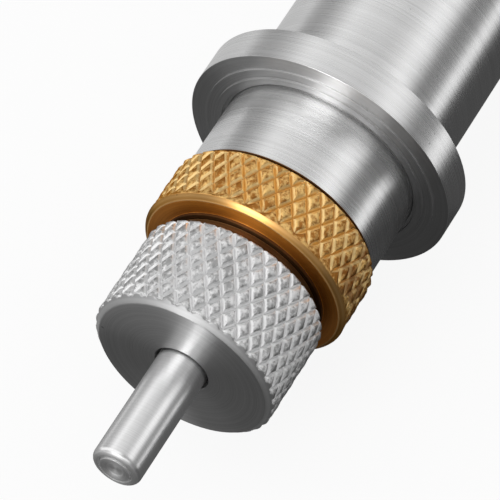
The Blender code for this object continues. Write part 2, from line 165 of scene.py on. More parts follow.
# Palm cap
PALM_CHAMFER = 0.0012
PALM_FLOOR = 0.0040
PALM_SKIRT = 0.0100
PALM_EDGE = 0.0002
PALM_BAND_REAR = 0.0022
PALM_BAND_FRONT = 0.0124
PALM_BAND_STEP = 0.00012
PALM_MARK_R = 0.0011
PALM_MARK_DEPTH = 0.0004
STUD_R = 0.0045
STUD_PITCH = 0.0010
O_RING_FROM_MOUTH = 0.0024
O_RING_GROOVE_R = 0.00975
O_RING_GROOVE_HALF = 0.00075

# Springs: points to a turn, facets of the wire, turns closed at each end with the share of an open
# turn's rise that they keep, and the share of the wire's thickness ground off each end
COIL_POINTS = 40
WIRE_FACETS = 12
CLOSED_TURNS = 0.75
CLOSED_RISE = 0.62
GROUND_SHARE = 0.11
RETURN_WIRE = 0.0007
RETURN_TURNS = 6.5
POWER_WIRE = 0.0016
POWER_TURNS = 8.5
LEAF_T = 0.0003
LEAF_STEPS = 32
LEAF_CORNERS = 4
# Travels of the pin and the preload, listed with the heavy spring's halves but not used
PIN_STROKE = 0.0060
PRELOAD_IN = 0.0040

# Colours that metals take when seen edge on
WHITE = (1.0, 1.0, 1.0, 1)
BRASS_EDGE = (0.75, 0.50, 0.28, 1)

# In the finishes below, whole numbers are noise cells to a metre, a level is the pair of values that
# a mark fades in between, a share is the first noise's part of a blend, and a tint, sink or roughness
# is how much a mark adds to the colour, the depth or the roughness

# Turned finish: how fast lathe lines run outwards on an end face, how rough their noise is, which way
# the gloss is drawn out and how far, and the depth of its tool marks
FACE_RATE = 1.37
LINE_ROUGHNESS = 0.6
GLOSS_AROUND = 0.25
GLOSS_DRAG = 0.85
TOOL_MARK_DEPTH = 0.000006
TURNED_RINGS = 9000
TURNED_BANDS = 1500
TURNED_PASSES = 2600
TURNED_SMEARS = 260
TURNED_PITS = 1700
TURNED_PIT_LEVEL = (0.155, 0.20)
TURNED_RING_LEVEL = (0.3, 0.7)
TURNED_RING_SHARE = 0.6
TURNED_PIT_TINT = 0.7
TURNED_PIT_SINK = 0.6
TURNED_RING_ROUGHNESS = 0.10
TURNED_SMEAR_ROUGHNESS = 0.06

# Knurled finish, with the shares of a groove's depth that its sides and its bottom start at; the bottom
# is painted darker as shade
KNURL_GRAIN = 2800
KNURL_WEAR = 420
KNURL_DENTS = 1300
KNURL_SIDE_LEVEL = (0.30, 0.45)
KNURL_BOTTOM_LEVEL = (0.62, 0.98)
KNURL_BOTTOM_SHADE = 0.8
KNURL_GRAIN_LEVEL = (0.40, 0.60)
KNURL_GRAIN_SHARE = 0.6
KNURL_GRAIN_ROUGHNESS = 0.12
KNURL_SIDE_POLISH = 0.04
KNURL_DENT_SHARE = 0.5
KNURL_GRAIN_DEPTH = 0.00005

# Painted shade in patches on the ring's knurl, and how far out on the tool's right it comes in
SIDE_SHADE = (0.22, 0.07, 0.02, 1)
SIDE_SHADE_PATCHES = 900
SIDE_SHADE_LEVEL = (0.42, 0.58)
SIDE_SHADE_TINT = 0.75
SIDE_SHADE_REACH = (0.0066, 0.0082)

# Ground finish of the pin
GROUND_DRAG = 0.4
GROUND_ROUGHNESS = 0.27
GROUND_RINGS = 12000
GROUND_SMEARS = 500
SCRATCHES_ACROSS = 900
SCRATCHES_ALONG = 160
SCRATCH_LEVEL = (0.70, 0.76)
GROUND_RING_LEVEL = (0.3, 0.7)
SCRATCH_TINT = 0.6
SCRATCH_SINK = 0.5
GROUND_RING_ROUGHNESS = 0.05
GROUND_SMEAR_ROUGHNESS = 0.08
GROUND_DEPTH = 0.00001

# Finish of the inner pieces, with its film of oil
INNER_RINGS = 7000
INNER_BLOTCHES = 420
INNER_LEVEL = (0.35, 0.65)
INNER_RING_SHARE = 0.5
INNER_RING_ROUGHNESS = 0.15
INNER_DEPTH = 0.00001
OIL_PATCHES = 300
OIL_LEVEL = (0.4, 0.7)
OIL_WEIGHT = 0.3
OIL_ROUGHNESS = 0.15

# Rubber
RUBBER_SKIN = 6000
RUBBER_DUST = 500
RUBBER_DUST_LEVEL = (0.45, 0.8)
RUBBER_ROUGHNESS = 0.55
RUBBER_SKIN_ROUGHNESS = 0.25
RUBBER_DEPTH = 0.00002

# Photograph's view: direction, distance, and the view's centre from the middle of the cap's face
VIEW_AZIMUTH = math.radians(118.4)
VIEW_ELEVATION = math.radians(54.87)
VIEW_DISTANCE = 0.3317
VIEW_RIGHT = 0.00505
VIEW_UP = 0.00872
LENS_MM = 325.4
SENSOR_MM = 36.0

# Sky on the left and on the right of the tool: brightness against height, from the horizon at 0
# to straight up at 1, and where the one fades into the other
SKY_LEFT = (
    (0.00, 0.45), (0.04, 0.28), (0.34, 0.26), (0.62, 0.72),
    (0.70, 1.15), (0.78, 1.10), (0.83, 0.50), (1.00, 0.48),
)
SKY_RIGHT = (
    (0.00, 1.00), (0.04, 0.24), (0.38, 0.20), (0.48, 0.95),
    (0.54, 1.30), (0.74, 1.22), (0.80, 0.44), (1.00, 0.48),
)
SKY_FADE = (-0.1, 0.2)
# A strip of sky across the front of the tool, bright on the left, that lights the knurls' grooves
FRONT_SKY_FROM = (-0.30, -0.10)
FRONT_SKY_TO = (0.28, 0.42)
FRONT_SKY_LEFT = 1.15
FRONT_SKY_RIGHT = 0.22
FRONT_SKY_FADE = (0.0, 0.3)
# Front lamp: direction and distance from the tool, size and power
LAMP_WAY = Vector((0.845, -0.165, 0.515))
LAMP_DISTANCE = 0.6
LAMP_SIZE = 0.27
LAMP_POWER = 0.85

# Floor: half its side, its paint, and how white the camera and reflections see it
FLOOR_HALF = 20.0
FLOOR_GREY = 0.9
FLOOR_WHITE = 0.9
# Grey cards over the floor that only reflections see: how far each lies above the one before it, and
# its lightness and its spans along X and Y
CARD_LIFT = 0.00005
CARDS = (
    ("side_card", 0.075, (-0.20, 0.034), (0.004, 0.060)),
    ("front_card", 0.095, (0.034, 1.500), (-0.014, 1.500)),
    ("left_rear_card", 0.62, (-0.30, 0.034), (-0.400, -0.004)),
    ("left_front_card", 0.34, (0.034, 1.500), (-1.500, -0.014)),
    ("flange_card", 0.085, (0.034, 0.048), (-0.028, -0.014)),
    ("flange_right_card", 0.052, (0.034, 0.050), (0.000, 0.014)),
    ("barrel_card", 0.05, (0.026, 0.034), (0.006, 0.035)),
    ("right_rear_card", 1.20, (-0.30, 0.034), (0.075, 0.400)),
)


def grey(level, tint=0.0):
    """A neutral colour, a little bluer for a positive tint."""
    return (level * (1 - tint), level, level * (1 + tint), 1)


class Value:
    """A number in a material, with Python's operators as Math nodes."""

    def __init__(self, nodes, socket):
        self.nodes = nodes
        self.socket = socket

    def math(self, operation, first, second):
        return self.nodes.add("ShaderNodeMath", {"operation": operation}, {0: first, 1: second})

    def __add__(self, other):
        return self.math("ADD", self, other)

    def __radd__(self, other):
        return self.math("ADD", other, self)

    def __sub__(self, other):
        return self.math("SUBTRACT", self, other)

    def __rsub__(self, other):
        return self.math("SUBTRACT", other, self)

    def __mul__(self, other):
        return self.math("MULTIPLY", self, other)

    def __rmul__(self, other):
        return self.math("MULTIPLY", other, self)

    def __pow__(self, other):
        return self.math("POWER", self, other)

    def __rpow__(self, other):
        return self.math("POWER", other, self)

    def most(self, other):
        return self.math("MAXIMUM", self, other)

    def between(self, low, high):
        """0 below low, 1 above high, and smooth from one to the other."""
        settings = {"interpolation_type": "SMOOTHSTEP"}
        return self.nodes.add("ShaderNodeMapRange", settings, {0: self, 1: low, 2: high})


def blend(share, first, second):
    """So much of the first value, and the rest of the second."""
    return first * share + second * (1 - share)


class Nodes:
    """The nodes of one material or of the sky."""

    def __init__(self, tree):
        self.tree = tree

    def add(self, kind, settings=None, sockets=None, output=0):
        """Any node: its type, its settings, then the values or links of its sockets."""
        node = self.tree.nodes.new(kind)
        for setting, value in (settings or {}).items():
            if setting == "stops":
                set_stops(node.color_ramp, value)
            else:
                setattr(node, setting, value)
        for socket, value in (sockets or {}).items():
            self.feed(node.inputs[socket], value)
        return Value(self, node.outputs[output])

    def feed(self, socket, value):
        if isinstance(value, Value):
            self.tree.links.new(value.socket, socket)
        else:
            socket.default_value = value

    def give(self, node, socket, value):
        """A value or link for a node that was there from the start."""
        self.feed(self.tree.nodes[node].inputs[socket], value)

    def mix(self, share, low, high):
        sockets = {"Factor": share, 6: low, 7: high}
        return self.add("ShaderNodeMix", {"data_type": "RGBA"}, sockets, output=2)


def set_stops(ramp, stops):
    while len(ramp.elements) < len(stops):
        ramp.elements.new(1.0)
    for element, (place, colour) in zip(ramp.elements, stops):
        element.position = place
        element.color = colour


class Finish(Nodes):
    """A material of the tool: one Principled shader, its constants set at once.

    Its spot is the piece's own place with Z along the tool. Pieces kept from the CAD model
    lie along X already, so theirs is turned to match.
    """

    def __init__(self, name, laid=False, **constants):
        self.material = bpy.data.materials.new(name)
        self.material.use_nodes = True
        super().__init__(self.material.node_tree)
        self.set(**constants)
        self.spot = self.add("ShaderNodeTexCoord", output="Object")
        if laid:
            self.spot = self.add("ShaderNodeMapping", None, {
                "Vector": self.spot,
                "Location": (AXIS_HEIGHT, 0, 0),
                "Rotation": (0, -math.pi / 2, 0),
            })

    def set(self, **sockets):
        """The shader's sockets: constants, and links for what changes over the surface."""
        for socket, value in sockets.items():
            self.give("Principled BSDF", socket.replace("_", " "), value)
        return self.material

    def noise(self, scale, detail=3.0, roughness=0.5, spot=None):
        """Even noise all over, with so many cells to a metre."""
        sockets = {"Vector": spot or self.spot, "Scale": scale, "Detail": detail, "Roughness": roughness}
        return self.add("ShaderNodeTexNoise", None, sockets)

    def drawn_out(self, across, along, detail):
        """Noise with its own cell counts across the axis and along it."""
        rates = (across, across, along)
        spot = self.add("ShaderNodeVectorMath", {"operation": "MULTIPLY"}, {0: self.spot, 1: rates})
        return self.noise(1.0, detail, spot=spot)

    def part_of_spot(self, axis):
        return self.add("ShaderNodeSeparateXYZ", None, {0: self.spot}, output=axis)

    def from_axis(self):
        return (self.part_of_spot("X") ** 2 + self.part_of_spot("Y") ** 2) ** 0.5

    def lathe_lines(self, scale, detail=4.0):
        """Fine rings: along the axis on round sides, and outwards on end faces."""
        way = self.part_of_spot("Z") + self.from_axis() * FACE_RATE
        sockets = {"W": way, "Scale": scale, "Detail": detail, "Roughness": LINE_ROUGHNESS}
        return self.add("ShaderNodeTexNoise", {"noise_dimensions": "1D"}, sockets)

    def bump(self, height, distance):
        return self.add("ShaderNodeBump", None, {"Height": height, "Distance": distance})


def turned_metal(name, dark, light, pit, roughness, mark=TOOL_MARK_DEPTH, drag=GLOSS_DRAG, edge=WHITE):
    """A satin lathe finish: rings around the axis, faint smears, tiny pits."""
    f = Finish(
        name, Metallic=1.0, Specular_Tint=edge, Anisotropic=drag, Anisotropic_Rotation=GLOSS_AROUND,
    )
    rings = f.lathe_lines(TURNED_RINGS)
    bands = f.lathe_lines(TURNED_BANDS, detail=3.0)
    passes = f.lathe_lines(TURNED_PASSES, detail=1.0)
    smear = f.noise(TURNED_SMEARS)
    pits = 1 - f.noise(TURNED_PITS, detail=1.0).between(*TURNED_PIT_LEVEL)
    tone = blend(TURNED_RING_SHARE, rings, bands).between(*TURNED_RING_LEVEL)
    shade = f.mix(tone, dark, light)
    shade = f.mix(pits * TURNED_PIT_TINT, shade, pit)
    return f.set(
        Base_Color=shade,
        Roughness=roughness + rings * TURNED_RING_ROUGHNESS + smear * TURNED_SMEAR_ROUGHNESS,
        Normal=f.bump(passes - pits * TURNED_PIT_SINK, mark),
    )


def knurled_metal(name, dark, light, side, bottom, roughness, edge=WHITE, side_shade=None):
    """A rolled knurl: its tops dulled and mottled, its groove sides fresh, its groove bottoms darkened
    as painted shade, and, if given, painted shade in patches on the tool's right side.
    """
    f = Finish(name, Metallic=1.0, Specular_Tint=edge)
    groove = f.add("ShaderNodeAttribute", {"attribute_name": "groove"}, output="Fac")
    grain = f.noise(KNURL_GRAIN, detail=2.0, roughness=0.6)
    wear = f.noise(KNURL_WEAR)
    dents = f.noise(KNURL_DENTS, detail=2.0)
    fresh = groove.between(*KNURL_SIDE_LEVEL)
    tone = blend(KNURL_GRAIN_SHARE, grain, wear).between(*KNURL_GRAIN_LEVEL)
    shade = f.mix(tone, dark, light)
    shade = f.mix(fresh, shade, side)
    # Painted shade: the bottoms of the grooves are darkened
    shade = f.mix(groove.between(*KNURL_BOTTOM_LEVEL) * KNURL_BOTTOM_SHADE, shade, bottom)
    # Painted shade on the tool's right side, broken into patches
    if side_shade:
        patches = f.noise(SIDE_SHADE_PATCHES).between(*SIDE_SHADE_LEVEL)
        on_shaded_side = f.part_of_spot("Y").between(*SIDE_SHADE_REACH)
        shade = f.mix(patches * on_shaded_side * SIDE_SHADE_TINT, shade, side_shade)
    return f.set(
        Base_Color=shade,
        Roughness=roughness + grain * KNURL_GRAIN_ROUGHNESS - fresh * KNURL_SIDE_POLISH,
        Normal=f.bump(dents * KNURL_DENT_SHARE + grain, KNURL_GRAIN_DEPTH),
    )


def ground_steel(dark, light, scratched):
    """Ground and polished pin: fine rings, a few long scratches."""
    f = Finish("ground_steel", Metallic=1.0, Anisotropic=GROUND_DRAG, Anisotropic_Rotation=GLOSS_AROUND)
    rings = f.lathe_lines(GROUND_RINGS)
    scratch = f.drawn_out(SCRATCHES_ACROSS, SCRATCHES_ALONG, detail=2.0).between(*SCRATCH_LEVEL)
    smear = f.noise(GROUND_SMEARS)
    shade = f.mix(rings.between(*GROUND_RING_LEVEL), dark, light)
    shade = f.mix(scratch * SCRATCH_TINT, shade, scratched)
    return f.set(
        Base_Color=shade,
        Roughness=GROUND_ROUGHNESS + rings * GROUND_RING_ROUGHNESS + smear * GROUND_SMEAR_ROUGHNESS,
        Normal=f.bump(smear - scratch * SCRATCH_SINK, GROUND_DEPTH),
    )


def inner_metal(name, dark, light, roughness, laid=True):
    """An inner piece with machining marks and a film of oil."""
    f = Finish(name, laid, Metallic=1.0, Coat_Roughness=OIL_ROUGHNESS)
    rings = f.lathe_lines(INNER_RINGS)
    blotch = f.noise(INNER_BLOTCHES, detail=4.0)
    film = f.noise(OIL_PATCHES)
    tone = blend(INNER_RING_SHARE, rings, blotch).between(*INNER_LEVEL)
    return f.set(
        Base_Color=f.mix(tone, dark, light),
        Roughness=roughness + rings * INNER_RING_ROUGHNESS,
        Coat_Weight=film.between(*OIL_LEVEL) * OIL_WEIGHT,
        Normal=f.bump(rings, INNER_DEPTH),
    )


def black_rubber(fresh, dusty):
    """Moulded rubber, dusted grey in patches."""
    f = Finish("black_rubber", laid=True)
    skin = f.noise(RUBBER_SKIN, roughness=0.6)
    dust = f.noise(RUBBER_DUST, detail=4.0)
    return f.set(
        Base_Color=f.mix(dust.between(*RUBBER_DUST_LEVEL), fresh, dusty),
        Roughness=RUBBER_ROUGHNESS + skin * RUBBER_SKIN_ROUGHNESS,
        Normal=f.bump(skin, RUBBER_DEPTH),
    )


TURNED_ALUMINIUM = turned_metal(
    "turned_aluminium", dark=grey(0.72), light=grey(0.88), pit=grey(0.25), roughness=0.20,
)
CAP_FACE_ALUMINIUM = turned_metal(
    "cap_face_aluminium", dark=grey(0.60), light=grey(0.72), pit=grey(0.30), roughness=0.29,
)
CHAMFER_ALUMINIUM = turned_metal(
    "chamfer_aluminium", dark=grey(0.54), light=grey(0.68), pit=grey(0.30), roughness=0.46, drag=0.3,
)
# Painted shade: a darker grey for the flange's front face and the lands around the barrel's seat than
# for the tube's turned sides
FLANGE_ALUMINIUM = turned_metal(
    "flange_aluminium", dark=grey(0.56), light=grey(0.70), pit=grey(0.25), roughness=0.24,
)
# Painted shade, tinted brown: on the rear end of the cap's collar and on the barrel's spigot with its
# thread
BROWN_PAINTED_SHADE = turned_metal(
    "brown_painted_shade", dark=(0.40, 0.20, 0.07, 1), light=(0.62, 0.34, 0.13, 1),
    pit=(0.06, 0.04, 0.02, 1), roughness=0.30,
)
# Painted shade: a dark brown for the gaps, on the cap's collar and the back of its rim, the ring's boss
# and the barrel's shoulder joint
PAINTED_GAP_SHADE = turned_metal(
    "painted_gap_shade", dark=(0.10, 0.05, 0.02, 1), light=(0.20, 0.10, 0.04, 1),
    pit=(0.03, 0.02, 0.01, 1), roughness=0.40,
)
KNURLED_ALUMINIUM = knurled_metal(
    "knurled_aluminium", dark=grey(0.46), light=grey(0.92), side=grey(0.92), bottom=grey(0.84),
    roughness=0.40,
)
TURNED_BRASS = turned_metal(
    "turned_brass", dark=(0.70, 0.35, 0.095, 1), light=(0.90, 0.52, 0.19, 1),
    pit=(0.25, 0.11, 0.03, 1), roughness=0.25, drag=0.4, edge=BRASS_EDGE,
)
DULL_BRASS = turned_metal(
    "dull_brass", dark=(0.84, 0.30, 0.04, 1), light=(1.0, 0.41, 0.07, 1),
    pit=(0.15, 0.06, 0.02, 1), roughness=0.34,
)
WORN_BRASS = turned_metal(
    "worn_brass", dark=(0.64, 0.36, 0.13, 1), light=(0.74, 0.45, 0.18, 1),
    pit=(0.25, 0.11, 0.03, 1), roughness=0.50, drag=0.0,
)
KNURLED_BRASS = knurled_metal(
    "knurled_brass", dark=(0.46, 0.19, 0.04, 1), light=(1.0, 0.66, 0.25, 1), side=(1.0, 0.72, 0.33, 1),
    bottom=(0.80, 0.52, 0.22, 1), roughness=0.40, edge=BRASS_EDGE, side_shade=SIDE_SHADE,
)
TURNED_STEEL = turned_metal(
    "turned_steel", dark=grey(0.74), light=grey(0.90), pit=grey(0.30), roughness=0.48,
    mark=0.00001, drag=0.4,
)
GROUND_STEEL = ground_steel(dark=grey(0.87), light=grey(0.97), scratched=grey(0.45))
BLUED_DARK = grey(0.20, tint=0.04)
BLUED_LIGHT = grey(0.36, tint=0.03)
SPRING_WIRE = inner_metal("spring_wire", BLUED_DARK, BLUED_LIGHT, roughness=0.25, laid=False)
SPRING_LEAF = inner_metal("spring_leaf", BLUED_DARK, BLUED_LIGHT, roughness=0.25)


def ends(node):
    """A node's rear and front ends along the tool's axis."""
    low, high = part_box(node)
    return low.x, high.x


def reach(node):
    """How far a node's surface lies from the tool's axis."""
    corners = (v.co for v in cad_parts[node].data.vertices)
    return max(math.hypot(c.y, c.z - AXIS_HEIGHT) for c in corners)


def eased(outline):
    """An outline with each corner rounded, and a support point on each side of the rounding."""
    points = [Vector(p) for p in outline]
    out = []
    for i, corner in enumerate(points):
        if corner.x == 0:
            out.append(corner)
            continue
        before = points[i - 1] - corner
        after = points[(i + 1) % len(points)] - corner
        ease = min(EASE, before.length * EASE_SHARE, after.length * EASE_SHARE)
        start = corner + before.normalized() * ease
        end = corner + after.normalized() * ease
        out.append(corner + before.normalized() * 2 * ease)
        for step in range(EASE_STEPS + 1):
            share = step / EASE_STEPS
            out.append(start.lerp(corner, share).lerp(corner.lerp(end, share), share))
        out.append(corner + after.normalized() * 2 * ease)
    return [(p.x, p.y) for p in out]


def with_rows(outline, heights, least_r):
    """The outline with points added at these heights, on its sides outside the least radius."""
    out = []
    for (r, h), (next_r, next_h) in zip(outline, outline[1:] + outline[:1]):
        out.append((r, h))
        if min(r, next_r) < least_r or h == next_h:
            continue
        inside = [x for x in heights if min(h, next_h) < x < max(h, next_h)]
        for x in sorted(inside, reverse=next_h < h):
            out.append((r + (next_r - r) * (x - h) / (next_h - h), x))
    return out


def knurl_lead(outer_r, lines):
    """How far along the axis one groove goes while it crosses one line of its hand."""
    return 2 * math.pi * outer_r / lines / math.tan(KNURL_SLANT)


def steps(low, high, step):
    """Whole multiples of a step between two heights."""
    return [i * step for i in range(math.ceil(low / step), math.floor(high / step) + 1)]


def diamond_relief(outer_r, lines, crown, low, high, shallow_from=math.inf):
    """Two hands of slanted grooves between two heights, cut down from the outer radius.

    Past the height that they get shallow from, they rise to the surface over one run-out.
    """
    lead = knurl_lead(outer_r, lines)

    def from_groove(phase):
        return np.abs((phase + 0.5) % 1 - 0.5)

    def depth(turn, radius, height):
        across = turn * lines / (2 * math.pi)
        near = np.minimum(from_groove(across + height / lead), from_groove(across - height / lead))
        share = SIDE_SHARE * np.clip(1 - near / GROOVE_SIDE, 0, 1)
        share = share + (1 - SIDE_SHARE) * np.clip(1 - near / GROOVE_BOTTOM, 0, 1)
        share = crown * (1 - 2 * near) + (1 - crown) * share
        left = np.clip(1 - (height - shallow_from) / RUN_OUT, 0, 1)
        cut = radius - (outer_r - KNURL_DEPTH * share * left)
        in_band = (height >= low) & (height <= high) & (radius > outer_r - 2 * KNURL_DEPTH)
        return np.where(in_band, np.maximum(cut, 0), 0)

    return depth


def thread_relief(outer_r, pitch, low, high):
    """A right-hand V thread between two heights, fading in and out over one turn."""
    def depth(turn, radius, height):
        phase = (height / pitch - turn / (2 * math.pi)) % 1
        groove = np.clip(THREAD_PEAK - np.abs(2 * phase - 1) * THREAD_FLANK, 0, 1) * THREAD_DEPTH
        fade = np.clip((height - low) / pitch, 0, 1) * np.clip((high - height) / pitch, 0, 1)
        on_thread = (np.abs(radius - outer_r) < EASE) & (height > low) & (height < high)
        return np.where(on_thread, groove * fade, 0)

    return depth


def spun(name, outline, columns=FINE_COLUMNS, relief=None):
    """An outline of (radius, height) points turned about Z, less its relief.

    A face that the relief bends is split along the diagonal that lies nearer to the relief.
    """
    closed = outline[0][0] > 0
    radius, height = np.array(outline).T
    turn = np.arange(columns) * 2 * math.pi / columns

    def cut_at(turns, radii, heights):
        if relief is None:
            return np.zeros((len(turns), len(radii)))
        return relief(turns[:, None], radii[None, :], heights[None, :])

    def halfway(values):
        return (values + np.roll(values, -1)) / 2

    depth = cut_at(turn, radius, height)
    middle = cut_at(turn + math.pi / columns, halfway(radius), halfway(height))
    beside = np.roll(depth, -1, axis=0)
    above = np.roll(depth, -1, axis=1)
    across = np.roll(beside, -1, axis=1)
    folded = np.abs(depth + across - beside - above) > FLAT
    rising = np.abs((depth + across) / 2 - middle) <= np.abs((beside + above) / 2 - middle)

    rows = len(outline)
    faces = []
    for column in range(columns):
        here = column * rows
        there = (column + 1) % columns * rows
        for row in range(rows if closed else rows - 1):
            top = (row + 1) % rows
            a, b, c, d = here + row, here + top, there + top, there + row
            if not folded[column, row]:
                faces.append((a, b, c, d))
            elif rising[column, row]:
                faces += [(a, b, c), (a, c, d)]
            else:
                faces += [(a, b, d), (b, c, d)]
    cut_r = radius[None, :] - depth
    spots = np.stack([
        cut_r * np.cos(turn)[:, None],
        cut_r * np.sin(turn)[:, None],
        np.broadcast_to(height, depth.shape),
    ], axis=-1)
    mesh = bpy.data.meshes.new(name)
    mesh.from_pydata(spots.reshape(-1, 3).tolist(), [], faces)
    if relief is not None:
        groove = mesh.attributes.new("groove", "FLOAT", "POINT")
        groove.data.foreach_set("value", (depth / KNURL_DEPTH).astype(np.float32).ravel())
    return made(name, mesh)


def weld(mesh):
    """Weld points that lie together, turn faces outwards, and keep edges crisp where they turn."""
    shape = bmesh.new()
    shape.from_mesh(mesh)
    bmesh.ops.remove_doubles(shape, verts=shape.verts, dist=WELD)
    bmesh.ops.recalc_face_normals(shape, faces=shape.faces)
    shape.to_mesh(mesh)
    shape.free()
    mesh.shade_smooth()
    mesh.set_sharp_from_angle(angle=CRISP_ANGLE)


def placed(name, data):
    """An object of a mesh, lamp or camera, linked to the scene."""
    obj = bpy.data.objects.new(name, data)
    bpy.context.scene.collection.objects.link(obj)
    return obj


def made(name, mesh):
    """An object of a mesh that is welded first."""
    weld(mesh)
    return placed(name, mesh)


def finish_zones(obj, main, *zones):
    """The main finish all over, then each zone's own between two heights and two radii."""
    for finish in (main, *(zone[0] for zone in zones)):
        obj.data.materials.append(finish)
    for face in obj.data.polygons:
        radius = math.hypot(face.center.x, face.center.y)
        for index, (finish, low, high, inner_r, outer_r) in enumerate(zones, 1):
            if low < face.center.z < high and inner_r < radius < outer_r:
                face.material_index = index


def lay(obj, rear, body, node):
    """Lay a piece along the tool's axis in the place of its node."""
    obj.matrix_world = Matrix.Translation((rear, 0, AXIS_HEIGHT)) @ ALONG_TOOL
    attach(obj, body)
    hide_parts(node)


def make_nose_cap():
    """The knurled cap, with a smooth chamfered face, and a collar behind its rim that is painted with
    shade: brown at its rear end and dark on to the back of the rim.
    """
    rear, front = ends("nose_cap")
    outer_r = reach("nose_cap")
    face = front - rear
    inside = face - CAP_WALL
    bore_r = outer_r - CAP_SIDE_WALL
    collar_r = outer_r - CAP_COLLAR_STEP
    hole_r = reach("punch_pin") + CAP_HOLE_GAP
    rim = CAP_COLLAR_LENGTH
    chamfer_foot = face - CAP_CHAMFER
    outline = eased([
        (hole_r, face),
        (outer_r - CAP_FACE_INSET, face),
        (outer_r, chamfer_foot),
        (outer_r, rim + CAP_RIM_BEVEL),
        (outer_r - CAP_RIM_BEVEL, rim),
        (collar_r, rim),
        (collar_r, 0),
        (bore_r, 0),
        (bore_r, inside),
        (hole_r, inside),
    ])
    row = knurl_lead(outer_r, CAP_LINES) / FRONT_CELLS
    heights = steps(rim, chamfer_foot, row) + steps(chamfer_foot, face, BEVEL_ROW)
    outline = with_rows(outline, heights, collar_r)
    relief = diamond_relief(outer_r, CAP_LINES, CAP_CROWN, rim, face, chamfer_foot - CAP_RUN_OUT_LEAD)
    cap = spun("nose_cap_knurled", outline, CAP_LINES * FRONT_CELLS, relief)
    finish_zones(
        cap, CAP_FACE_ALUMINIUM,
        (CHAMFER_ALUMINIUM, chamfer_foot, face - EASE / 2, collar_r, outer_r),
        (KNURLED_ALUMINIUM, rim, chamfer_foot, collar_r, outer_r),
        (BROWN_PAINTED_SHADE, -GAP, CAP_COLLAR_SHADE_SPLIT, bore_r, outer_r - CAP_RIM_BEVEL),
        (PAINTED_GAP_SHADE, CAP_COLLAR_SHADE_SPLIT, rim + EASE, bore_r, outer_r - CAP_RIM_BEVEL),
    )
    lay(cap, rear, "nose", "nose_cap")


def make_lock_ring():
    """The knurled ring, with a bright bevel, a dull face and a boss towards the cap that is painted dark
    as shade.
    """
    rear, front = ends("lock_ring")
    outer_r = reach("lock_ring")
    bore_r = SPIGOT_R + GAP
    bevel_r = outer_r - RING_FRONT_BEVEL
    length = front - rear
    bevel_foot = length - RING_FRONT_BEVEL
    outline = eased([
        (bore_r, length + RING_BOSS_H),
        (RING_BOSS_R, length + RING_BOSS_H),
        (RING_BOSS_R, length),
        (bevel_r, length),
        (outer_r, bevel_foot),
        (outer_r, RING_REAR_BEVEL),
        (outer_r - RING_REAR_BEVEL, 0),
        (bore_r, 0),
    ])
    row = knurl_lead(outer_r, RING_LINES) / FRONT_CELLS
    heights = steps(RING_REAR_BEVEL, bevel_foot, row)
    heights += steps(bevel_foot, length, BEVEL_ROW) + steps(0, RING_REAR_BEVEL, BEVEL_ROW)
    outline = with_rows(outline, heights, outer_r - 2 * KNURL_DEPTH)
    relief = diamond_relief(outer_r, RING_LINES, RING_CROWN, 0, length, bevel_foot - RUN_OUT)
    ring = spun("lock_ring_knurled", outline, RING_LINES * FRONT_CELLS, relief)
    # The boss towards the cap is painted dark as shade
    finish_zones(
        ring, TURNED_BRASS,
        (KNURLED_BRASS, 0, bevel_foot, bevel_r, outer_r),
        (DULL_BRASS, length - EASE / 2, length + EASE, bore_r, bevel_r),
        (WORN_BRASS, length - EASE, length + EASE / 4, bevel_r - EASE, bevel_r + EASE),
        (PAINTED_GAP_SHADE, length + EASE / 2, length + 2 * RING_BOSS_H, bore_r, RING_BOSS_R + EASE),
    )
    lay(ring, rear, "ring", "lock_ring")


def make_front_barrel():
    """The turned barrel, with the spigot that cap and ring screw onto."""
    rear, front = ends("front_barrel")
    outer_r = reach("front_barrel")
    spigot_end = front - rear
    shoulder = ends("lock_ring")[0] - GAP - rear
    foot = shoulder - FOOT_FROM_SHOULDER
    tail_r = reach("handle_tube") - FLANGE_STEP - TUBE_FRONT_WALL - GAP
    outline = eased([
        (BARREL_BORE_R, spigot_end),
        (SPIGOT_R - BARREL_EDGE, spigot_end),
        (SPIGOT_R, spigot_end - BARREL_EDGE),
        (SPIGOT_R, shoulder),
        (outer_r - SHOULDER_EDGE, shoulder),
        (outer_r, shoulder - SHOULDER_EDGE),
        (outer_r, foot),
        (tail_r, foot),
        (tail_r, 0),
        (WEB_HOLE_R, 0),
        (WEB_HOLE_R, WEB_T),
        (BARREL_BORE_R, WEB_T),
    ])
    heights = steps(shoulder, spigot_end, THREAD_PITCH / THREAD_STEPS)
    outline = with_rows(outline, heights, SPIGOT_R - BARREL_EDGE)
    relief = thread_relief(SPIGOT_R, THREAD_PITCH, shoulder, spigot_end)
    barrel = spun("front_barrel_turned", outline, FINE_COLUMNS, relief)
    # Painted shade: brown on the spigot and its thread, dark in the joint at the shoulder
    finish_zones(
        barrel, TURNED_ALUMINIUM,
        (BROWN_PAINTED_SHADE, shoulder - EASE / 2, spigot_end, 0, SPIGOT_R + EASE),
        (PAINTED_GAP_SHADE, shoulder - 2 * SHOULDER_EDGE, shoulder + EASE, SPIGOT_R + EASE, outer_r),
    )
    lay(barrel, rear, "housing", "front_barrel")


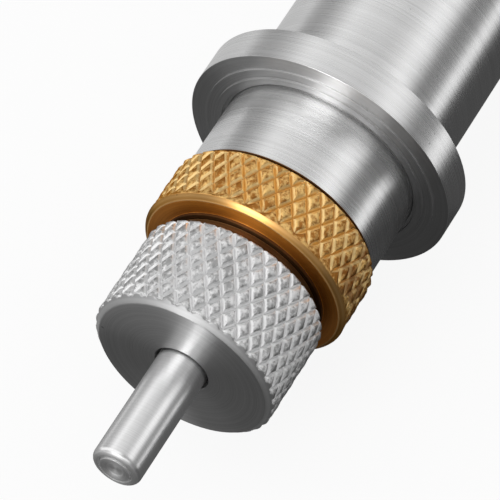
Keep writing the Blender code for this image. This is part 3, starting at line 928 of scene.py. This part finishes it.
def make_handle_tube():
    """The tube, with its flange, the lands around the barrel's seat, and two screw holes."""
    rear, front = ends("handle_tube")
    flange_r = reach("handle_tube")
    tube_r = flange_r - FLANGE_STEP
    land_top = front - rear
    flange_front = land_top - LAND_H
    flange_rear = flange_front - FLANGE_T
    seat_r = reach("front_barrel") + GAP
    seat_floor = flange_rear + FLANGE_FLOOR
    lip_r = reach("front_barrel") + SEAT_FIT
    lip_top = land_top - ROOT_GROOVE_DEPTH
    groove_r = lip_r + ROOT_GROOVE_W
    inner_land_r = groove_r + INNER_LAND_W
    outer_land_r = inner_land_r + OUTER_LAND_W
    bore_r = tube_r - TUBE_WALL
    front_bore_r = tube_r - TUBE_FRONT_WALL
    bore_step = seat_floor - FRONT_BORE_LENGTH
    tube = spun("handle_tube_turned", eased([
        (lip_r, lip_top),
        (groove_r, lip_top),
        (groove_r, land_top),
        (inner_land_r, land_top),
        (inner_land_r, flange_front + OUTER_LAND_H),
        (outer_land_r, flange_front + OUTER_LAND_H),
        (outer_land_r, flange_front),
        (flange_r - FLANGE_EDGE, flange_front),
        (flange_r, flange_front - FLANGE_EDGE),
        (flange_r, flange_rear + FLANGE_EDGE),
        (flange_r - FLANGE_EDGE, flange_rear),
        (tube_r, flange_rear),
        (tube_r, FLANGE_EDGE),
        (tube_r - FLANGE_EDGE, 0),
        (bore_r, 0),
        (bore_r, bore_step),
        (front_bore_r, bore_step),
        (front_bore_r, seat_floor),
        (seat_r, seat_floor),
        (seat_r, lip_top - SEAT_LIP_T),
        (lip_r, lip_top - SEAT_LIP_T),
    ]))
    finish_zones(
        tube, TURNED_ALUMINIUM,
        (FLANGE_ALUMINIUM, flange_front - EASE / 2, land_top + EASE, 0, flange_r),
    )
    screw_at = sum(ends("bush_screw_left")) / 2 - rear
    drill_across(tube, screw_at, bore_r, tube_r)
    lay(tube, rear, "housing", "handle_tube")


def drill_across(tube, height, bore_r, outer_r):
    """A round hole through each side of the tube, along its own Y."""
    drill = bmesh.new()
    for side in (1, -1):
        place = Matrix.Translation((0, side * (bore_r + outer_r) / 2, height))
        bmesh.ops.create_cone(
            drill, cap_ends=True, segments=SCREW_HOLE_FACETS,
            radius1=SCREW_HOLE_R, radius2=SCREW_HOLE_R,
            depth=2 * (outer_r - bore_r) + SCREW_HOLE_R,
            matrix=place @ Matrix.Rotation(math.pi / 2, 4, "X"),
        )
    mesh = bpy.data.meshes.new("drill")
    drill.to_mesh(mesh)
    drill.free()
    cutter = placed("drill", mesh)
    boolean = tube.modifiers.new("holes", "BOOLEAN")
    boolean.object = cutter
    boolean.solver = "EXACT"
    shaped = tube.evaluated_get(bpy.context.evaluated_depsgraph_get())
    drilled = bpy.data.meshes.new_from_object(shaped)
    tube.modifiers.clear()
    tube.data = drilled
    weld(drilled)
    bpy.data.objects.remove(cutter)


def dimple(radius, depth, face):
    """A rounded hollow in the middle of an end face, from its bottom out to its rim."""
    hollow = []
    for i in range(DIMPLE_STEPS):
        share = i / DIMPLE_STEPS
        hollow.append((radius * share, face - depth * math.cos(math.pi / 2 * share) ** 0.5))
    return hollow + [(radius, face)]


def make_punch_pin():
    """The ground pin, its rounded end turned with a disc, a groove and a centre hollow."""
    rear, front = ends("punch_pin")
    pin_r = reach("punch_pin")
    length = front - rear
    rim = length - PIN_DISC_RISE
    disc = eased([
        (0, length),
        (PIN_DISC_R, length),
        (PIN_DISC_R, rim - PIN_GROOVE_DEPTH),
        (PIN_DISC_R + PIN_GROOVE_W, rim - PIN_GROOVE_DEPTH),
        (PIN_DISC_R + PIN_GROOVE_W, rim),
        (pin_r - PIN_TIP_INSET, rim),
    ])
    edge = []
    for i in range(1, PIN_EDGE_STEPS + 1):
        turn = math.pi / 2 * i / PIN_EDGE_STEPS
        edge.append((
            pin_r - PIN_TIP_INSET * (1 - math.sin(turn)),
            rim - PIN_CHAMFER * (1 - math.cos(turn)),
        ))
    foot = [(pin_r, PIN_REAR_EDGE), (pin_r - PIN_REAR_EDGE, 0), (0, 0)]
    # The hollow takes the place of the disc's middle, and the rounded edge goes on from its last corner
    outline = dimple(DIMPLE_R, DIMPLE_DEPTH, length) + disc[1:-2] + edge + foot
    pin = spun("punch_pin_ground", outline)
    end_foot = rim - PIN_CHAMFER * PIN_END_SHARE
    finish_zones(pin, GROUND_STEEL, (TURNED_STEEL, end_foot, length + EASE, 0, pin_r))
    lay(pin, rear, "punch", "punch_pin")


def make_palm_cap():
    """The palm cap, with a sunk knurled band, a groove for its O-ring and a threaded stud."""
    rear, front = ends("rear_cap")
    outer_r = reach("rear_cap")
    stud_end = front - rear
    mouth = PALM_FLOOR + PALM_SKIRT
    skirt_r = reach("handle_tube") - FLANGE_STEP + GAP
    ring_at = mouth - O_RING_FROM_MOUTH
    band_r = outer_r - PALM_BAND_STEP
    corners = eased([
        (0, stud_end),
        (STUD_R - PALM_EDGE, stud_end),
        (STUD_R, stud_end - PALM_EDGE),
        (STUD_R, PALM_FLOOR),
        (skirt_r, PALM_FLOOR),
        (skirt_r, ring_at - O_RING_GROOVE_HALF),
        (O_RING_GROOVE_R, ring_at - O_RING_GROOVE_HALF),
        (O_RING_GROOVE_R, ring_at + O_RING_GROOVE_HALF),
        (skirt_r, ring_at + O_RING_GROOVE_HALF),
        (skirt_r, mouth),
        (outer_r - PALM_EDGE, mouth),
        (outer_r, mouth - PALM_EDGE),
        (outer_r, PALM_BAND_FRONT + PALM_BAND_STEP),
        (band_r, PALM_BAND_FRONT),
        (band_r, PALM_BAND_REAR),
        (outer_r, PALM_BAND_REAR - PALM_BAND_STEP),
        (outer_r, PALM_CHAMFER),
        (outer_r - PALM_CHAMFER, 0),
        (0, 0),
    ])
    hollow = [(r, -h) for r, h in dimple(PALM_MARK_R, PALM_MARK_DEPTH, 0)]
    outline = corners[:-1] + hollow[::-1]
    row = knurl_lead(band_r, PALM_LINES) / PALM_CELLS
    outline = with_rows(outline, steps(PALM_BAND_REAR, PALM_BAND_FRONT, row), band_r - EASE)
    # Only the stud gets the thread's rows
    thread_rows = steps(PALM_FLOOR, stud_end, STUD_PITCH / THREAD_STEPS)
    split = next(i for i, (r, h) in enumerate(outline) if r > STUD_R + EASE)
    outline = with_rows(outline[:split], thread_rows, STUD_R - PALM_EDGE) + outline[split:]
    knurl = diamond_relief(band_r, PALM_LINES, CAP_CROWN, PALM_BAND_REAR, PALM_BAND_FRONT)
    thread = thread_relief(STUD_R, STUD_PITCH, PALM_FLOOR, stud_end)

    def relief(turn, radius, height):
        on_band = np.abs(radius - band_r) < EASE / 2
        return np.where(on_band, knurl(turn, radius, height), 0) + thread(turn, radius, height)

    cap = spun("palm_cap_knurled", outline, PALM_LINES * PALM_CELLS, relief)
    finish_zones(
        cap, TURNED_ALUMINIUM,
        (KNURLED_ALUMINIUM, PALM_BAND_REAR, PALM_BAND_FRONT, skirt_r + EASE, outer_r),
    )
    lay(cap, rear, "palm", "rear_cap")


def swept(name, rings, corners):
    """A bar through rings of points that follow each other, closed at both ends."""
    spots = [spot for ring in rings for spot in ring]
    faces = [tuple(range(corners)), tuple(range(len(spots) - corners, len(spots)))]
    for ring in range(len(rings) - 1):
        low, high = ring * corners, (ring + 1) * corners
        for corner in range(corners):
            beside = (corner + 1) % corners
            faces.append((low + corner, low + beside, high + beside, high + corner))
    mesh = bpy.data.meshes.new(name)
    mesh.from_pydata(spots, [], faces)
    return made(name, mesh)


def coil(name, length, coil_r, wire, turns, part=(0.0, 1.0)):
    """A compression spring from its rear end forward, its end turns closed and ground flat.

    Of its wire, the part between these two shares of its length is made.
    """
    count = round(turns * COIL_POINTS) + 1
    angles = np.linspace(0, 2 * math.pi * turns, count)
    share = np.linspace(0, 1, count)
    closing = CLOSED_TURNS / turns
    closed_rise = closing * CLOSED_RISE
    rise = np.interp(share, [0, closing, 1 - closing, 1], [0, closed_rise, 1 - closed_rise, 1])
    heights = wire / 2 + (length - wire) * rise
    flat = wire * GROUND_SHARE
    first, last = (round(end * (count - 1)) for end in part)
    rings = []
    for angle, height in zip(angles[first:last + 1], heights[first:last + 1]):
        ring = []
        for facet in range(WIRE_FACETS):
            around = 2 * math.pi * facet / WIRE_FACETS
            r = coil_r + wire / 2 * math.cos(around)
            z = height + wire / 2 * math.sin(around)
            ring.append((r * math.cos(angle), r * math.sin(angle), min(max(z, flat), length - flat)))
        rings.append(ring)
    spring = swept(name, rings, WIRE_FACETS)
    spring.data.materials.append(SPRING_WIRE)
    return spring


def make_return_coil():
    """The light spring, laid in the housing."""
    rear, front = ends("return_spring")
    coil_r = BARREL_BORE_R - GAP - RETURN_WIRE / 2
    spring = coil("return_coil", front - rear, coil_r, RETURN_WIRE, RETURN_TURNS)
    lay(spring, rear, "housing", "return_spring")
    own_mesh(spring)


def make_power_coil():
    """The heavy spring, in a rear half and a front half, both laid in the housing."""
    rear, front = ends("power_spring")
    coil_r = reach("handle_tube") - FLANGE_STEP - TUBE_WALL - GAP - POWER_WIRE / 2
    halves = (
        ("power_coil_rear", (0.0, 0.5), "preload_travel", PRELOAD_IN),
        ("power_coil_front", (0.5, 1.0), "striker_slide", PIN_STROKE),
    )
    for name, part, joint, travel in halves:
        spring = coil(name, front - rear, coil_r, POWER_WIRE, POWER_TURNS, part)
        lay(spring, rear, "housing", "power_spring")
        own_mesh(spring)


def make_trip_leaf():
    """The bowed leaf, riding with the striker."""
    low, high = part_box("trip_leaf")
    rise = high.y - low.y - LEAF_T
    rings = []
    for i in range(LEAF_STEPS + 1):
        along = 2 * i / LEAF_STEPS - 1
        x = low.x + (high.x - low.x) * (along + 1) / 2
        under = low.y + rise * math.cos(math.pi / 2 * along)
        over = under + LEAF_T
        rings.append([(x, under, low.z), (x, under, high.z), (x, over, high.z), (x, over, low.z)])
    leaf = swept("trip_leaf_bowed", rings, LEAF_CORNERS)
    leaf.data.materials.append(SPRING_LEAF)
    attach(leaf, "striker")
    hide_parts("trip_leaf")
    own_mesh(leaf)


def finish_inner_pieces():
    """New finishes for the pieces whose CAD shapes stay."""
    steel = inner_metal("hardened_steel", dark=grey(0.32), light=grey(0.48), roughness=0.28)
    brass = inner_metal(
        "bush_brass", dark=(0.60, 0.36, 0.11, 1), light=(0.80, 0.54, 0.21, 1), roughness=0.25,
    )
    rubber = black_rubber(fresh=grey(0.018), dusty=grey(0.06))
    finishes = {
        steel: [
            "pin_holder", "pin_set_screw", "trip_sleeve", "hammer", "trip_block", "spring_seat",
            "bush_screw_left", "bush_screw_right",
        ],
        brass: ["stem_bush", "thrust_washer", "end_bush"],
        rubber: ["buffer_washer", "cap_o_ring"],
    }
    for finish, nodes in finishes.items():
        for node in nodes:
            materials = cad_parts[node].data.materials
            materials.clear()
            materials.append(finish)


def stage_finish(name):
    """An empty material for the floor or a card, and its nodes."""
    material = bpy.data.materials.new(name)
    material.use_nodes = True
    nodes = Nodes(material.node_tree)
    nodes.tree.nodes.remove(nodes.tree.nodes["Principled BSDF"])
    return material, nodes


def flat_stage(name, z, span_x, span_y, finish):
    """A level rectangle that is not part of the tool."""
    (x0, x1), (y0, y1) = span_x, span_y
    mesh = bpy.data.meshes.new(name)
    mesh.from_pydata([(x0, y0, z), (x1, y0, z), (x1, y1, z), (x0, y1, z)], [], [(0, 1, 2, 3)])
    mesh.materials.append(finish)
    obj = placed(name, mesh)
    return obj


def make_floor(level):
    """A plain white floor, brighter to the camera and in reflections, that keeps the shadow."""
    material, n = stage_finish("pale_floor")
    paint = n.add("ShaderNodeBsdfDiffuse", None, {"Color": grey(FLOOR_GREY)})
    glow = n.add("ShaderNodeEmission", None, {"Color": WHITE, "Strength": 1.0})
    rays = ("Camera", "Glossy", "Transmission")
    camera, glossy, through = (n.add("ShaderNodeLightPath", output=f"Is {ray} Ray") for ray in rays)
    seen = camera.most(glossy).most(through)
    both = n.add("ShaderNodeMixShader", None, {0: seen * FLOOR_WHITE, 1: paint, 2: glow})
    n.give("Material Output", "Surface", both)
    flat_stage("floor", level, (-FLOOR_HALF, FLOOR_HALF), (-FLOOR_HALF, FLOOR_HALF), material)


def make_cards(level):
    """The grey cards, hidden from all but reflections."""
    for place, (name, lightness, span_x, span_y) in enumerate(CARDS, 1):
        material, n = stage_finish(name)
        glow = n.add("ShaderNodeEmission", None, {"Color": grey(lightness), "Strength": 1.0})
        n.give("Material Output", "Surface", glow)
        card = flat_stage(name, level + CARD_LIFT * place, span_x, span_y, material)
        card.visible_camera = False
        card.visible_shadow = False
        card.visible_diffuse = False
        card.visible_transmission = False


def make_sky():
    """A soft sky, banded as a studio's ceiling is."""
    world = bpy.data.worlds.new("studio")
    bpy.context.scene.world = world
    world.use_nodes = True
    n = Nodes(world.node_tree)
    way = n.add("ShaderNodeTexCoord", output="Generated")
    ahead, across, height = (
        n.add("ShaderNodeSeparateXYZ", None, {0: way}, output=axis) for axis in "XYZ"
    )
    left, right = (
        n.add("ShaderNodeValToRGB", {"stops": [(z, grey(level)) for z, level in sky]}, {0: height})
        for sky in (SKY_LEFT, SKY_RIGHT)
    )
    over_tool = ahead.between(*FRONT_SKY_FROM) * (1 - ahead.between(*FRONT_SKY_TO))
    front = n.mix(across.between(*FRONT_SKY_FADE), grey(FRONT_SKY_LEFT), grey(FRONT_SKY_RIGHT))
    sides = n.mix(across.between(*SKY_FADE), left, right)
    n.give("Background", "Color", n.mix(over_tool, sides, front))


def make_lamp():
    """A soft lamp in front of the tool."""
    lamp = bpy.data.lights.new("front_lamp", "AREA")
    lamp.shape = "DISK"
    lamp.size = LAMP_SIZE
    lamp.energy = LAMP_POWER
    obj = placed("front_lamp", lamp)
    obj.location = LAMP_WAY.normalized() * LAMP_DISTANCE
    obj.rotation_euler = LAMP_WAY.to_track_quat("Z", "Y").to_euler()


def make_camera():
    """The photograph's camera, placed from the middle of the nose cap's face."""
    side = Vector((math.cos(VIEW_AZIMUTH), math.sin(VIEW_AZIMUTH), 0))
    level = math.cos(VIEW_ELEVATION)
    back = Vector((
        math.sin(VIEW_AZIMUTH) * level,
        -math.cos(VIEW_AZIMUTH) * level,
        math.sin(VIEW_ELEVATION),
    ))
    up = back.cross(side)
    cap_face = Vector((ends("nose_cap")[1], 0, AXIS_HEIGHT))
    camera = bpy.data.cameras.new("photo_view")
    camera.lens = LENS_MM
    camera.sensor_width = SENSOR_MM
    obj = placed("photo_view", camera)
    obj.location = cap_face + side * VIEW_RIGHT + up * VIEW_UP + back * VIEW_DISTANCE
    obj.rotation_euler = back.to_track_quat("Z", "Y").to_euler()
    bpy.context.scene.camera = obj


make_nose_cap()
make_lock_ring()
make_front_barrel()
make_handle_tube()
make_punch_pin()
make_palm_cap()
make_return_coil()
make_power_coil()
make_trip_leaf()
finish_inner_pieces()

floor_level = AXIS_HEIGHT - reach("handle_tube")
make_floor(floor_level)
make_cards(floor_level)
make_sky()
make_lamp()
make_camera()
bpy.context.scene.view_settings.view_transform = "Standard"
